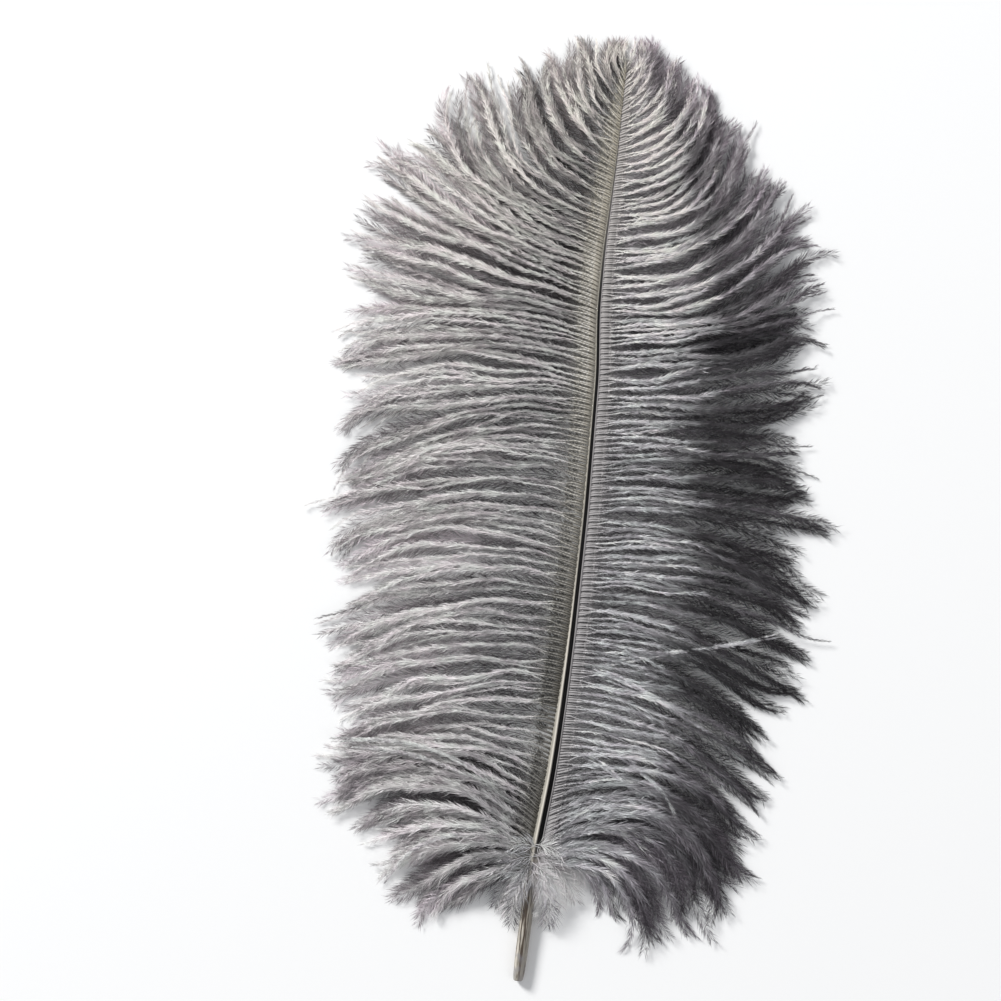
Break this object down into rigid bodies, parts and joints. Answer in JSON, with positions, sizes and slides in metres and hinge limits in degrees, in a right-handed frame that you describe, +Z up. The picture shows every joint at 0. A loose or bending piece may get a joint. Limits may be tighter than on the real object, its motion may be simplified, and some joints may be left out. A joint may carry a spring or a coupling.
{
  "type": "ostrich feather",
  "caption": "Dyed grey ostrich plume lying flat, grooved side of the shaft up, with a short bare quill and wide soft vanes of curling locks on both sides.",
  "frame": {"origin": "on the surface that the feather lies on, under the middle of its bounding box", "axes": "+Y from the quill to the feather's tip, +Z up out of the shaft's groove, +X to the right vane"},
  "size_m": [0.1904, 0.3418, 0.0149],
  "materials": {
    "shaft_horn": "smooth keratin horn, tan to dark brown, with a satin sheen and a dark groove",
    "vane_barbs": "dyed grey down, soft and streaky, with fine hairs on every barb"
  },
  "bodies": {
    "root": {"shaft": "shaft_horn", "left_vane": "vane_barbs", "right_vane": "vane_barbs"}
  },
  "joints": []
}
